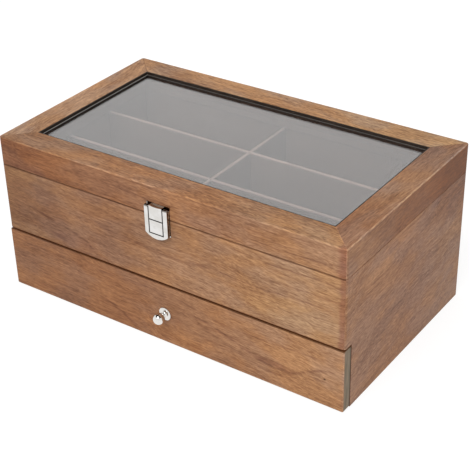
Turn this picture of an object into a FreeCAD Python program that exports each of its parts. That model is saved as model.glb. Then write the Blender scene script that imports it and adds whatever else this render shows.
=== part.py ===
import FreeCAD, Part
import math
import os

import Sketcher

# Sunglasses display box: a lined tray under a hinged lid with a window, and a drawer below it.
# Millimetres. X runs to the right, Y to the back and Z up. The origin is the middle of the
# footprint, on the surface that the box stands on. The closed drawer front and the upper front
# panel share the front plane, and the latch and the knob stand out of it.

DRIVING_SIZES = [
    # Case
    ("case_width", 345, "outside, left to right"),
    ("case_depth", 200, "outside, front to back"),
    ("case_height", 150, "ground to the top of the lid"),
    ("wall", 10, "board of the case and of the lid's sides"),
    ("corner_round", 3, "radius of the upright outside corners"),
    ("seam_ease", 0.4, "bevel on the edges that meet at the lid seam"),
    ("base_board", 4, "board under the drawer"),
    ("tray_board", 5, "board between tray and drawer"),
    ("housing", 3, "depth of the groove that the tray board sits in"),
    ("board_play", 0.1, "tray board in its groove"),
    # Lid
    ("lid_height", 26, "seam to the top of the lid"),
    ("rail_width", 24, "wood from the outside of the lid to the window"),
    ("lip", 3.4, "wood over the edge of the glass"),
    ("top_ease", 0.9, "radius of the lid's upper outside edges"),
    ("window_ease", 0.4, "radius of the wood's edge round the window"),
    ("glass_thickness", 2.5, "window glass"),
    ("glass_play", 0.5, "glass to the lid's walls"),
    ("liner_width", 9, "lined strips that hold the glass"),
    ("liner_round", 1.6, "radius of the strips' lower inside edge"),
    ("liner_rise", 0.5, "strips above the rim of the case"),
    ("window_round", 1.6, "inside corner radius of the gasket"),
    ("gasket_wall", 1, "gasket's upright wall"),
    ("gasket_foot", 2, "gasket's foot on the glass, wall included"),
    ("gasket_foot_height", 0.8, "thickness of that foot"),
    ("gasket_foot_ease", 0.35, "bevel on the foot's inside edge"),
    ("gasket_drop", 0.3, "gasket's edge below the lid's top"),
    # Tray
    ("tray_lining", 4.5, "padded wall linings of the tray"),
    ("tray_pad", 2.5, "padded floor of the tray"),
    ("lining_drop", 0.4, "linings below the rim"),
    ("lining_play", 0.2, "linings to the boards behind them"),
    ("lining_round", 1.5, "radius of a lining's upper inside edge"),
    ("divider_board", 3, "thickness of every divider"),
    ("divider_ease", 1.2, "radius of a divider's upper edges"),
    ("divider_play", 0.3, "dividers to the linings"),
    ("lap_play", 0.3, "width of a lap slot over the divider in it"),
    # Drawer
    ("front_lift", 0.5, "drawer front above the ground"),
    ("front_height", 58.3, "drawer front, bottom to top"),
    ("front_board", 10, "thickness of the drawer front"),
    ("front_seam", 1.5, "drawer front to the panel above it"),
    ("front_rebate_gap", 0.5, "drawer front to the cut ends of the sides"),
    ("front_corner", 1.2, "radius of the drawer front's four corners"),
    ("front_ease", 0.8, "radius of the drawer front's edges"),
    ("drawer_board", 7, "drawer sides, back and inner front"),
    ("drawer_bottom_board", 3, "drawer bottom"),
    ("drawer_head_room", 6, "drawer sides below the tray board"),
    ("drawer_side_gap", 0.8, "drawer to the case's sides"),
    ("drawer_run_gap", 0.3, "drawer bottom above the base board"),
    ("drawer_back_gap", 7, "closed drawer to the back panel"),
    ("drawer_lining", 3, "padded wall linings of the drawer"),
    ("drawer_pad", 2, "padded floor of the drawer"),
    ("drawer_lining_drop", 1.5, "drawer linings below the drawer sides"),
    # Hinges
    ("hinge_spread", 230, "between the middles of the two hinges"),
    ("hinge_length", 38, "along the pin"),
    ("leaf", 1, "thickness of a leaf"),
    ("leaf_inset", 8, "leaf into the rim"),
    ("leaf_play", 0.2, "leaf to the ends of its recess"),
    ("knuckle_radius", 1.9, "outside of the knuckles"),
    ("knuckle_stand", 0.35, "knuckles to the back of the case"),
    ("knuckle_share", 12.6, "length of the lid's knuckle, in the middle"),
    ("knuckle_gap", 0.25, "between one knuckle and the next"),
    ("hinge_pin_radius", 0.9, "hinge pins"),
    ("pin_play", 0.06, "pin in a bore that turns on it"),
    ("screw_spread", 24, "between the two screws of a leaf"),
    ("screw_shank", 1, "radius of the screws' shanks"),
    ("screw_length", 11, "under the leaf's face"),
    ("screw_sink", 0.1, "heads below the leaf's face, and the land under its countersinks"),
    # Latch, with levels counted from the seam
    ("latch_plate_margin", 0.1, "both plates beyond the flap at each side"),
    ("latch_plate", 0.8, "thickness of both plates"),
    ("latch_plate_top", 11.5, "top of the lid's plate"),
    ("latch_plate_split", 0.6, "each plate's edge to the seam"),
    ("keeper_drop", 15.5, "keeper's lower edge below the seam"),
    ("latch_reach", 4.8, "front of the latch to the wood"),
    ("boss_width", 13.4, "both bosses"),
    ("boss_top", 11, "ends of the upper boss's hollow top edge"),
    ("boss_dip", 0.5, "how far that edge dips"),
    ("boss_split", 1.6, "middle of the line between the bosses, below the seam"),
    ("boss_gap", 0.5, "width of that line"),
    ("boss_drop", 13.9, "lower boss's bottom below the seam"),
    ("catch_height", 0.25, "catch under the lower boss"),
    ("catch_depth", 1.1, "catch, front to back"),
    ("flap_width", 22.8, "flap, left to right"),
    ("flap_stand", 0.3, "flap to the heads of the nails behind it"),
    ("flap_play", 0.5, "flap's arms to the bosses"),
    ("flap_bar_play", 0.25, "flap's bar below the catch"),
    ("flap_drop", 19, "lowest point of the flap below the seam"),
    ("flap_sweep", 16.7, "radius of the flap's lower edge"),
    ("flap_round", 2, "radius of the flap's lower corners"),
    ("flap_wall", 0.8, "sheet that the flap is pressed from"),
    ("metal_ease", 0.5, "radius of the latch's front edges"),
    ("latch_pin_level", 9, "latch pin above the seam"),
    ("latch_pin_radius", 0.8, "latch pin"),
    ("nail_radius", 0.6, "latch nails"),
    ("nail_head_radius", 1.1, "heads of the latch nails"),
    ("nail_head", 0.4, "thickness of those heads"),
    ("nail_length", 7, "nails behind the plates"),
    ("lid_nail_level", 4.5, "the lid's nails above the seam"),
    ("keeper_nail_level", 9, "the keeper's nails below the seam"),
    # Knob
    ("knob_level", 29.8, "middle of the knob above the ground"),
    ("knob_flange_radius", 6, "flange on the drawer front"),
    ("knob_flange_rim", 0.8, "thickness of the flange at its edge"),
    ("knob_shoulder_radius", 3.2, "where the flange turns up into the neck"),
    ("knob_shoulder", 1.8, "that point, from the drawer front"),
    ("knob_neck_radius", 2.1, "neck"),
    ("knob_neck", 2.9, "start of the neck, from the drawer front"),
    ("knob_ball_radius", 5.2, "ball"),
    ("knob_ball_stand", 8.7, "middle of the ball, from the drawer front"),
    ("knob_screw_radius", 1.25, "machine screw from the inside"),
    ("knob_screw_grip", 7, "screw inside the knob"),
    ("knob_screw_play", 0.05, "screw in its holes"),
    ("knob_head_radius", 2.6, "screw's head"),
    ("knob_head", 1.6, "thickness of that head"),
    ("knob_head_play", 0.4, "screw's head to its counterbore, all round and behind it"),
]

SHARP = 0.01
TRACE_OF_VOLUME = 1e-6
SPARE = 1.0
HALF_ROOT = math.sqrt(0.5)
QUARTER_TURN = 90
FULL_TURN = 360


class Size:
    """A length that carries its number and the sheet formula that gives it."""

    def __init__(self, number, formula):
        self.number = number
        self.formula = formula

    @staticmethod
    def of(thing):
        return thing if isinstance(thing, Size) else Size(float(thing), f"({float(thing)!r})")

    def joined(self, sign, other, number):
        return Size(number, f"({self.formula} {sign} {other.formula})")

    def __add__(self, other):
        other = Size.of(other)
        return self.joined("+", other, self.number + other.number)

    def __sub__(self, other):
        other = Size.of(other)
        return self.joined("-", other, self.number - other.number)

    def __mul__(self, other):
        other = Size.of(other)
        return self.joined("*", other, self.number * other.number)

    def __truediv__(self, other):
        other = Size.of(other)
        return self.joined("/", other, self.number / other.number)

    def __radd__(self, other):
        return Size.of(other) + self

    def __rsub__(self, other):
        return Size.of(other) - self

    def __rmul__(self, other):
        return Size.of(other) * self

    def __neg__(self):
        return Size(-self.number, f"(0 - {self.formula})")


def root(size):
    return Size(math.sqrt(size.number), f"sqrt({size.formula})")


def fill_sheet(doc):
    """Writes the driving sizes into the sheet and returns them by name."""
    sheet = doc.addObject("Spreadsheet::Sheet", "Sizes")
    sizes = {}
    for row, (name, number, note) in enumerate(DRIVING_SIZES, 1):
        sheet.set(f"A{row}", name)
        sheet.set(f"B{row}", str(number))
        sheet.setAlias(f"B{row}", name)
        sheet.set(f"C{row}", note)
        sizes[name] = Size(float(number), f"Sizes.{name}")
    doc.recompute()
    return sizes


doc = FreeCAD.newDocument("SunglassesDisplayBox")
S = fill_sheet(doc)
subparts = []


# Helpers for bodies, sketches and features

def new_body(name):
    body = doc.addObject("PartDesign::Body", name)
    body.Label = name
    subparts.append(body)
    return body


def place(body, x=None, y=None, z=None, turn=0):
    """Puts a body's own frame at a point of the box, turned about the upright axis."""
    body.Placement = FreeCAD.Placement(FreeCAD.Vector(), FreeCAD.Rotation(FreeCAD.Vector(0, 0, 1), turn))
    for axis, size in (("x", x), ("y", y), ("z", z)):
        if size is not None:
            body.setExpression(f"Placement.Base.{axis}", size.formula)


def new_sketch(body, role, rise=None):
    """A sketch on one of the body's own planes, moved along that plane's normal by rise."""
    sketch = body.newObject("Sketcher::SketchObject", f"{body.Name}_sketch")
    plane = next(part for part in body.Origin.OriginFeatures if part.Role == role)
    sketch.AttachmentSupport = [(plane, "")]
    sketch.MapMode = "FlatFace"
    if rise is not None:
        sketch.setExpression("AttachmentOffset.Base.z", rise.formula)
    return sketch


def hold(sketch, kind, *entries):
    """Adds a dimension whose last entry is a size, bound to its formula."""
    size = Size.of(entries[-1])
    index = sketch.addConstraint(Sketcher.Constraint(kind, *entries[:-1], size.number))
    sketch.setExpression(f"Constraints[{index}]", size.formula)


def arc_through(start, end, radius, turn):
    """The arc from start to end, under a half circle; turn is 1 where it runs anticlockwise."""
    chord = end - start
    middle = (start + end) * 0.5
    left = FreeCAD.Vector(-chord.y, chord.x, 0).normalize()
    reach = math.sqrt(max(radius ** 2 - (chord.Length / 2) ** 2, 0))
    centre = middle + left * (turn * reach)
    angles = [math.atan2(point.y - centre.y, point.x - centre.x) for point in (start, end)]
    if turn < 0:
        angles.reverse()
    circle = Part.Circle(centre, FreeCAD.Vector(0, 0, 1), radius)
    return Part.ArcOfCircle(circle, angles[0], angles[1])


def outline(sketch, corners, arcs=None):
    """A closed outline through corners. arcs gives, by the number of the corner where a side
    starts, the radius of that side and 1 or -1 for its turn."""
    arcs = arcs or {}
    corners = [(Size.of(x), Size.of(y)) for x, y in corners]
    points = [FreeCAD.Vector(x.number, y.number, 0) for x, y in corners]
    first = sketch.GeometryCount
    ends = []
    for number, point in enumerate(points):
        after = points[(number + 1) % len(points)]
        if number in arcs:
            radius, turn = arcs[number]
            sketch.addGeometry(arc_through(point, after, radius.number, turn), False)
            ends.append((1, 2) if turn > 0 else (2, 1))
        else:
            sketch.addGeometry(Part.LineSegment(point, after), False)
            ends.append((1, 2))
    for number, (x, y) in enumerate(corners):
        side = first + number
        following = (number + 1) % len(corners)
        start, end = ends[number]
        joint = Sketcher.Constraint("Coincident", side, end, first + following, ends[following][0])
        sketch.addConstraint(joint)
        hold(sketch, "DistanceX", -1, 1, side, start, x)
        hold(sketch, "DistanceY", -1, 1, side, start, y)
        if number in arcs:
            hold(sketch, "Radius", side, arcs[number][0])


def rectangle(sketch, x, y):
    outline(sketch, [(x[0], y[0]), (x[1], y[0]), (x[1], y[1]), (x[0], y[1])])


def rounded_rectangle(sketch, half_x, half_y, radius):
    """A rectangle round the origin with quarter arcs at its corners."""
    inner_x = half_x - radius
    inner_y = half_y - radius
    corners = [
        (-inner_x, -half_y), (inner_x, -half_y), (half_x, -inner_y), (half_x, inner_y),
        (inner_x, half_y), (-inner_x, half_y), (-half_x, inner_y), (-half_x, -inner_y),
    ]
    outline(sketch, corners, {side: (radius, 1) for side in (1, 3, 5, 7)})


def circle(sketch, x, y, radius):
    x, y = Size.of(x), Size.of(y)
    centre = FreeCAD.Vector(x.number, y.number, 0)
    index = sketch.addGeometry(Part.Circle(centre, FreeCAD.Vector(0, 0, 1), radius.number), False)
    hold(sketch, "DistanceX", -1, 1, index, 3, x)
    hold(sketch, "DistanceY", -1, 1, index, 3, y)
    hold(sketch, "Radius", index, radius)


def pad(body, sketch, length, backwards=False):
    feature = body.newObject("PartDesign::Pad", f"{body.Name}_pad")
    feature.Profile = sketch
    feature.setExpression("Length", length.formula)
    feature.Reversed = backwards
    body.Tip = feature
    doc.recompute()
    return feature


def pocket(body, sketch, length=None, backwards=False, both_ways=False):
    """Cuts the sketch out of the body, right through where no length is given."""
    before = body.Shape.Volume
    feature = body.newObject("PartDesign::Pocket", f"{body.Name}_pocket")
    feature.Profile = sketch
    if length is None:
        feature.Type = "ThroughAll"
    else:
        feature.setExpression("Length", length.formula)
    feature.Reversed = backwards
    feature.Midplane = both_ways
    body.Tip = feature
    doc.recompute()
    if body.Shape.Volume > before - TRACE_OF_VOLUME:
        raise ValueError(f"{feature.Label} cuts nothing")
    return feature


def lies_on(edge, axis, place_on_axis):
    box = edge.BoundBox
    low = getattr(box, f"{axis}Min")
    high = getattr(box, f"{axis}Max")
    return abs(low - place_on_axis) < SHARP and abs(high - place_on_axis) < SHARP


def dress(body, kind, property_name, size, wanted):
    """Rounds or bevels the edges of the body that the test picks."""
    base = body.Tip
    names = [f"Edge{number}" for number, edge in enumerate(base.Shape.Edges, 1) if wanted(edge)]
    if not names:
        raise ValueError(f"no edge to dress on {body.Label}")
    feature = body.newObject(f"PartDesign::{kind}", f"{body.Name}_{kind.lower()}")
    feature.Base = (base, names)
    feature.setExpression(property_name, size.formula)
    body.Tip = feature
    doc.recompute()
    return feature


def fillet(body, radius, wanted):
    return dress(body, "Fillet", "Radius", radius, wanted)


def chamfer(body, size, wanted):
    return dress(body, "Chamfer", "Size", size, wanted)


# Levels and faces that several pieces share

half_width = S["case_width"] / 2
half_depth = S["case_depth"] / 2
seam = S["case_height"] - S["lid_height"]
inside_x = half_width - S["wall"]
inside_y = half_depth - S["wall"]
panel_bottom = S["front_lift"] + S["front_height"] + S["front_seam"]
front_rebate = S["front_board"] + S["front_rebate_gap"]
tray_floor = panel_bottom + S["tray_board"]
glass_under = S["case_height"] - S["lip"] - S["glass_thickness"]
hinge_y = half_depth + S["knuckle_stand"] + S["knuckle_radius"]
leaf_recess = S["hinge_length"] / 2 + S["leaf_play"]
flap_half = S["flap_width"] / 2
flap_arm = S["boss_width"] / 2 + S["flap_play"]
flap_depth = S["latch_reach"] - S["latch_plate"] - S["nail_head"] - S["flap_stand"]
flap_bar_drop = S["boss_drop"] + S["catch_height"] + S["flap_bar_play"]
nail_x = (flap_half + flap_arm) / 2
eye_radius = flap_depth / 2
latch_pin_stand = S["latch_reach"] - eye_radius

SIDES = {side: QUARTER_TURN * number for number, side in enumerate(("front", "right", "back", "left"))}


# Boards that meet in mitres

def stand_on_side(body, side, level):
    """Turns a board whose outer face is its own XZ plane to its side of the box."""
    x = {"right": half_width, "left": -half_width}.get(side)
    y = {"front": -half_depth, "back": half_depth}.get(side)
    place(body, x, y, level, SIDES[side])


def side_length(side):
    return S["case_width"] if side in ("front", "back") else S["case_depth"]


def mitred_board(name, side, depth, height, level):
    """A board along one side of the box, its ends cut at 45 degrees and its outer corners round."""
    body = new_body(name)
    stand_on_side(body, side, level)
    half = side_length(side) / 2
    bend = half - S["corner_round"]
    corner_x = bend + S["corner_round"] * HALF_ROOT
    corner_y = S["corner_round"] - S["corner_round"] * HALF_ROOT
    sketch = new_sketch(body, "XY_Plane")
    corners = [
        (-bend, 0), (bend, 0), (corner_x, corner_y), (half - depth, depth),
        (depth - half, depth), (-corner_x, corner_y),
    ]
    outline(sketch, corners, {1: (S["corner_round"], 1), 5: (S["corner_round"], 1)})
    pad(body, sketch, height)
    return body


def outer_edge_at(level):
    """Picks the outside edge of a mitred board at one level, with its round ends."""
    reach = S["corner_round"].number
    return lambda edge: lies_on(edge, "Z", level.number) and edge.BoundBox.YMax < reach


def hinge_recesses(body, level, upwards):
    """Recesses for the two hinge leaves, and pilot holes for their screws."""
    sketch = new_sketch(body, "XY_Plane", level)
    for hand in (-1, 1):
        middle = hand * S["hinge_spread"] / 2
        rectangle(sketch, (middle - leaf_recess, middle + leaf_recess), (-SPARE, S["leaf_inset"]))
    pocket(body, sketch, S["leaf"], backwards=upwards)
    sketch = new_sketch(body, "XY_Plane", level)
    for hand in (-1, 1):
        for side in (-1, 1):
            x = hand * S["hinge_spread"] / 2 + side * S["screw_spread"] / 2
            circle(sketch, x, S["leaf_inset"] / 2, S["screw_shank"])
    pocket(body, sketch, S["screw_length"], backwards=upwards)


def nail_holes(body, level):
    sketch = new_sketch(body, "XZ_Plane")
    for hand in (-1, 1):
        circle(sketch, hand * nail_x, level, S["nail_radius"])
    pocket(body, sketch, S["nail_length"])


# Case

def side_panel(name, side):
    """A side board: mitred above the drawer, cut back square beside the drawer front."""
    body = mitred_board(name, side, S["wall"], seam, Size.of(0))
    front_end = {"right": -1, "left": 1}[side]
    sketch = new_sketch(body, "XZ_Plane")
    ends = (front_end * (half_depth + SPARE), front_end * (half_depth - front_rebate))
    rectangle(sketch, ends, (Size.of(-SPARE), panel_bottom))
    pocket(body, sketch)
    housing_groove(body, half_depth)
    chamfer(body, S["seam_ease"], outer_edge_at(seam))


def housing_groove(body, half):
    """The groove that takes the edge of the tray board."""
    sketch = new_sketch(body, "XY_Plane", tray_floor)
    rectangle(sketch, (-half, half), (S["wall"] - S["housing"], S["wall"] + SPARE))
    pocket(body, sketch, S["tray_board"])


def back_panel():
    body = mitred_board("back_panel", "back", S["wall"], seam, Size.of(0))
    housing_groove(body, half_width)
    hinge_recesses(body, seam, upwards=False)
    chamfer(body, S["seam_ease"], outer_edge_at(seam))


def upper_front_panel():
    height = seam - panel_bottom
    body = mitred_board("upper_front_panel", "front", S["wall"], height, panel_bottom)
    nail_holes(body, height - S["keeper_nail_level"])
    chamfer(body, S["seam_ease"], outer_edge_at(height))


def slab(name, x, y, z):
    """A flat board or pad between two planes along each axis."""
    body = new_body(name)
    place(body, z=z[0])
    sketch = new_sketch(body, "XY_Plane")
    rectangle(sketch, x, y)
    pad(body, sketch, z[1] - z[0])
    return body


def base_board():
    front = front_rebate - half_depth
    slab("base_board", (-inside_x, inside_x), (front, inside_y), (Size.of(0), S["base_board"]))


def tray_floor_board():
    reach = S["housing"] - S["board_play"]
    wide = inside_x + reach
    slab("tray_floor_board", (-wide, wide), (-inside_y, inside_y + reach), (panel_bottom, tray_floor))


# Linings and dividers, alike in the tray and in the drawer

def lined_space(prefix, x, y, floor, floor_pad, lining, lining_top, divider_top):
    """Lines a rectangular space and divides it into two columns and three rows.

    x and y are the low and high faces of the boards round the space.
    """
    play = S["lining_play"]
    pad_top = floor + floor_pad
    x_low, x_high = x[0] + play, x[1] - play
    y_low, y_high = y[0] + play, y[1] - play
    slab(f"{prefix}_floor_lining", (x_low, x_high), (y_low, y_high), (floor, pad_top))
    z = (pad_top, lining_top)
    face_low, face_high = x[0] + lining, x[1] - lining
    face_front, face_back = y[0] + lining, y[1] - lining
    wall_lining(f"{prefix}_front_lining", (x_low, x_high), (y_low, face_front), z, "Y", face_front)
    wall_lining(f"{prefix}_back_lining", (x_low, x_high), (face_back, y_high), z, "Y", face_back)
    wall_lining(f"{prefix}_left_lining", (x_low, face_low), (face_front, face_back), z, "X", face_low)
    wall_lining(f"{prefix}_right_lining", (face_high, x_high), (face_front, face_back), z, "X", face_high)
    rows = 3
    row = (face_back - face_front - (rows - 1) * S["divider_board"]) / rows
    lines = [face_front + (row + S["divider_board"]) * number - S["divider_board"] / 2
             for number in range(1, rows)]
    middle = (x[0] + x[1]) / 2
    long_reach = (face_low + S["divider_play"], face_high - S["divider_play"])
    for name, line in zip(("front", "back"), lines):
        long_divider(f"{prefix}_{name}_divider", long_reach, line, middle, pad_top, divider_top)
    cross_reach = (face_front + S["divider_play"], face_back - S["divider_play"])
    cross_divider(f"{prefix}_cross_divider", cross_reach, middle, lines, pad_top, divider_top)


def wall_lining(name, x, y, z, axis, face):
    """A padded strip against a wall, its upper inside edge round."""
    body = slab(name, x, y, z)
    top = (z[1] - z[0]).number
    fillet(body, S["lining_round"],
           lambda edge: lies_on(edge, "Z", top) and lies_on(edge, axis, face.number))


def divider_profile(sketch, reach, height, slots, from_top):
    """The elevation of a divider, with lap slots of half its height."""
    half_slot = (S["divider_board"] + S["lap_play"]) / 2
    low, high = reach
    depth = height / 2
    mouth, bottom = (height, depth) if from_top else (Size.of(0), depth)
    notched = []
    for slot in slots:
        notched += [
            (slot - half_slot, mouth), (slot - half_slot, bottom),
            (slot + half_slot, bottom), (slot + half_slot, mouth),
        ]
    if from_top:
        notched.reverse()
        corners = [(low, 0), (high, 0), (high, height), *notched, (low, height)]
    else:
        corners = [(low, 0), *notched, (high, 0), (high, height), (low, height)]
    outline(sketch, corners)


def ease_divider(body, height, faces, axis):
    """Rounds the two long upper edges of a divider."""
    wanted = [face.number for face in faces]
    fillet(body, S["divider_ease"], lambda edge: lies_on(edge, "Z", height.number)
           and any(lies_on(edge, axis, face) for face in wanted))


def long_divider(name, reach, line, middle, level, top):
    """A divider along the box, slotted from above for the cross divider."""
    body = new_body(name)
    half = S["divider_board"] / 2
    place(body, y=line + half, z=level)
    height = top - level
    sketch = new_sketch(body, "XZ_Plane")
    divider_profile(sketch, reach, height, [middle], from_top=True)
    pad(body, sketch, S["divider_board"])
    ease_divider(body, height, (Size.of(0), -S["divider_board"]), "Y")


def cross_divider(name, reach, line, slots, level, top):
    """The divider from front to back, slotted from below for the long dividers."""
    body = new_body(name)
    half = S["divider_board"] / 2
    place(body, x=line - half, z=level)
    height = top - level
    sketch = new_sketch(body, "YZ_Plane")
    divider_profile(sketch, reach, height, slots, from_top=False)
    pad(body, sketch, S["divider_board"])
    ease_divider(body, height, (Size.of(0), S["divider_board"]), "X")


# Lid

def lid_rail(side):
    """A mitred rail: a wall as thick as the case's, and a lip over the edge of the glass."""
    body = mitred_board(f"lid_{side}_rail", side, S["rail_width"], S["lid_height"], seam)
    half = side_length(side) / 2
    inner = S["rail_width"] + SPARE
    sketch = new_sketch(body, "XY_Plane")
    corners = [
        (S["wall"] - half, S["wall"]), (half - S["wall"], S["wall"]),
        (half - inner, inner), (inner - half, inner),
    ]
    outline(sketch, corners)
    pocket(body, sketch, S["lid_height"] - S["lip"], backwards=True)
    if side == "back":
        hinge_recesses(body, Size.of(0), upwards=True)
    if side == "front":
        nail_holes(body, S["lid_nail_level"])
    top = S["lid_height"].number
    window = S["rail_width"].number
    fillet(body, S["top_ease"], outer_edge_at(S["lid_height"]))
    fillet(body, S["window_ease"], lambda edge: lies_on(edge, "Z", top) and lies_on(edge, "Y", window))
    chamfer(body, S["seam_ease"], outer_edge_at(Size.of(0)))


def glass_pane():
    wide = inside_x - S["glass_play"]
    deep = inside_y - S["glass_play"]
    slab("glass_pane", (-wide, wide), (-deep, deep), (glass_under, glass_under + S["glass_thickness"]))


def lid_liners():
    """Four lined strips that stand inside the lid's walls and hold the glass up."""
    play = S["lining_play"]
    wide, deep = inside_x - play, inside_y - play
    face_x, face_y = inside_x - S["liner_width"], inside_y - S["liner_width"]
    z = (seam + S["liner_rise"], glass_under)
    strips = {
        "front": ((-wide, wide), (-deep, -face_y), "Y", -face_y),
        "back": ((-wide, wide), (face_y, deep), "Y", face_y),
        "left": ((-wide, -face_x), (-face_y, face_y), "X", -face_x),
        "right": ((face_x, wide), (-face_y, face_y), "X", face_x),
    }
    for side, (x, y, axis, face) in strips.items():
        body = slab(f"lid_{side}_liner", x, y, z)
        fillet(body, S["liner_round"],
               lambda edge: lies_on(edge, "Z", 0) and lies_on(edge, axis, face.number))


def window_gasket():
    """A black trim of angle section: a wall inside the window and a foot on the glass."""
    body = new_body("window_gasket")
    place(body, z=glass_under + S["glass_thickness"])
    half_x = half_width - S["rail_width"]
    half_y = half_depth - S["rail_width"]
    rings = (
        (S["gasket_wall"], S["lip"] - S["gasket_drop"]),
        (S["gasket_foot"], S["gasket_foot_height"]),
    )
    for width, height in rings:
        sketch = new_sketch(body, "XY_Plane")
        rectangle(sketch, (-half_x, half_x), (-half_y, half_y))
        rounded_rectangle(sketch, half_x - width, half_y - width, S["window_round"])
        pad(body, sketch, height)
    foot_top = S["gasket_foot_height"].number
    foot_reach = (half_x - S["gasket_foot"]).number
    chamfer(body, S["gasket_foot_ease"], lambda edge: lies_on(edge, "Z", foot_top)
            and edge.BoundBox.XMax < foot_reach + SHARP)


# Hinges, each in a frame with its pin on the X axis and the seam at its XY plane

def hinge_leaf(hand, upper):
    """One leaf: a plate let into the rim, and its share of the knuckles round the pin."""
    side = "left" if hand < 0 else "right"
    name = f"{side}_hinge_{'lid' if upper else 'body'}_leaf"
    body = new_body(name)
    place(body, hand * S["hinge_spread"] / 2, hinge_y, seam)
    half = S["hinge_length"] / 2
    far = -(S["leaf_inset"] + S["knuckle_stand"] + S["knuckle_radius"])
    near = -(S["knuckle_radius"] + S["knuckle_stand"])
    lid_half = S["knuckle_share"] / 2
    body_inner = lid_half + S["knuckle_gap"]
    plate = new_sketch(body, "XY_Plane")
    if upper:
        stretches = [(-lid_half, lid_half)]
        corners = [
            (-half, far), (half, far), (half, near), (lid_half, near), (lid_half, 0),
            (-lid_half, 0), (-lid_half, near), (-half, near),
        ]
    else:
        stretches = [(-half, -body_inner), (body_inner, half)]
        corners = [
            (-half, far), (half, far), (half, 0), (body_inner, 0), (body_inner, near),
            (-body_inner, near), (-body_inner, 0), (-half, 0),
        ]
    outline(plate, corners)
    pad(body, plate, S["leaf"], backwards=not upper)
    for low, high in stretches:
        knuckle = new_sketch(body, "YZ_Plane", low)
        circle(knuckle, 0, 0, S["knuckle_radius"])
        pad(body, knuckle, high - low)
    bore = new_sketch(body, "YZ_Plane")
    circle(bore, 0, 0, S["hinge_pin_radius"] + S["pin_play"] if upper else S["hinge_pin_radius"])
    pocket(body, bore, both_ways=True)
    holes = new_sketch(body, "XY_Plane")
    screw_y = far + S["leaf_inset"] / 2
    for side_sign in (-1, 1):
        circle(holes, side_sign * S["screw_spread"] / 2, screw_y, S["screw_shank"])
    pocket(body, holes, backwards=upper)
    rim = S["screw_shank"].number
    chamfer(body, S["leaf"] - S["screw_sink"], lambda edge: lies_on(edge, "Z", 0)
            and edge.Curve.TypeId == "Part::GeomCircle" and abs(edge.Curve.Radius - rim) < SHARP)


def cross_pin(name, radius, length, middle, y, z):
    """A plain pin that lies from left to right."""
    pin = doc.addObject("Part::Cylinder", name)
    pin.Label = name
    pin.setExpression("Radius", radius.formula)
    pin.setExpression("Height", length.formula)
    rightwards = FreeCAD.Rotation(FreeCAD.Vector(0, 1, 0), QUARTER_TURN)
    pin.Placement = FreeCAD.Placement(FreeCAD.Vector(), rightwards)
    for axis, size in (("x", middle - length / 2), ("y", y), ("z", z)):
        pin.setExpression(f"Placement.Base.{axis}", size.formula)
    subparts.append(pin)


def hinge_pin(hand):
    side = "left" if hand < 0 else "right"
    middle = hand * S["hinge_spread"] / 2
    cross_pin(f"{side}_hinge_pin", S["hinge_pin_radius"], S["hinge_length"], middle, hinge_y, seam)


def turned_piece(name, corners, x, y, z, rotation, arcs=None):
    """A turned piece: its outline in its own XY plane, spun about its own Y axis."""
    body = doc.addObject("PartDesign::Body", name)
    sketch = new_sketch(body, "XY_Plane")
    outline(sketch, corners, arcs)
    feature = body.newObject("PartDesign::Revolution", f"{name}_revolution")
    feature.Profile = sketch
    feature.ReferenceAxis = (sketch, ["V_Axis"])
    feature.Angle = FULL_TURN
    body.Tip = feature
    body.Placement = FreeCAD.Placement(FreeCAD.Vector(), rotation)
    for axis, size in (("x", x), ("y", y), ("z", z)):
        body.setExpression(f"Placement.Base.{axis}", size.formula)
    doc.recompute()
    return body


def group(name, pieces):
    """Identical small pieces kept as separate solids of one sub-part."""
    compound = doc.addObject("Part::Compound", name)
    compound.Label = name
    compound.Links = pieces
    subparts.append(compound)
    doc.recompute()


def hinge_screws(name, upper):
    """Countersunk screws through the leaves, into the back panel or the lid's back rail."""
    sink = S["screw_sink"]
    cone = S["leaf"] - sink
    head = S["screw_shank"] + cone - sink
    corners = [
        (0, -S["screw_length"]), (S["screw_shank"], -S["screw_length"]),
        (S["screw_shank"], -cone), (head, -sink), (0, -sink),
    ]
    up = FreeCAD.Rotation(FreeCAD.Vector(1, 0, 0), -QUARTER_TURN if upper else QUARTER_TURN)
    y = half_depth - S["leaf_inset"] / 2
    screws = []
    for hand in (-1, 1):
        for side in (-1, 1):
            x = hand * S["hinge_spread"] / 2 + side * S["screw_spread"] / 2
            screws.append(turned_piece(f"{name}_{len(screws)}", corners, x, y, seam, up))
    group(name, screws)


# Latch, in a frame on the front of the case at the seam; its sketches pad towards the front

def latch_body(name):
    body = new_body(name)
    place(body, y=-half_depth, z=seam)
    return body


def latch_plate_and_boss(name, plate, boss, nail_level):
    """A plate with two nail holes and a square boss; plate and boss are low and high levels."""
    body = latch_body(name)
    half = flap_half + S["latch_plate_margin"]
    boss_half = S["boss_width"] / 2
    sketch = new_sketch(body, "XZ_Plane")
    rectangle(sketch, (-half, half), plate)
    for hand in (-1, 1):
        circle(sketch, hand * nail_x, nail_level, S["nail_radius"])
    pad(body, sketch, S["latch_plate"])
    sketch = new_sketch(body, "XZ_Plane", S["latch_plate"])
    rectangle(sketch, (-boss_half, boss_half), boss)
    pad(body, sketch, S["latch_reach"] - S["latch_plate"])
    front = -S["latch_reach"].number
    fillet(body, S["metal_ease"], lambda edge: lies_on(edge, "Y", front))
    return body


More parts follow.
